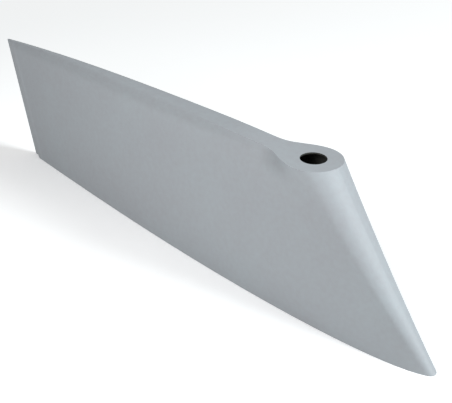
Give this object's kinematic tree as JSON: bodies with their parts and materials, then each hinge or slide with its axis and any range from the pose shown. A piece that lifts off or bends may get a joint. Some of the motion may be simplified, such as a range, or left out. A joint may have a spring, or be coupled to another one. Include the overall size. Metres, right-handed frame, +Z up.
{
  "type": "rudder tip",
  "caption": "Thin moulded tip fairing for the top of an aircraft rudder, hollow and open along its base, with a round boss and bore at the front for a tail light and a joint flange at the back.",
  "frame": {"origin": "base plane, under the middle of the overall length, on the middle plane", "axes": "+X towards the leading edge, +Z up along the bore axis (span), Y across the thickness"},
  "size_m": [0.8588, 0.07, 0.2123],
  "materials": {
    "gelcoat": "satin grey gelcoat on glass-fibre laminate"
  },
  "bodies": {
    "root": {"tip_shell": "gelcoat"}
  },
  "joints": []
}
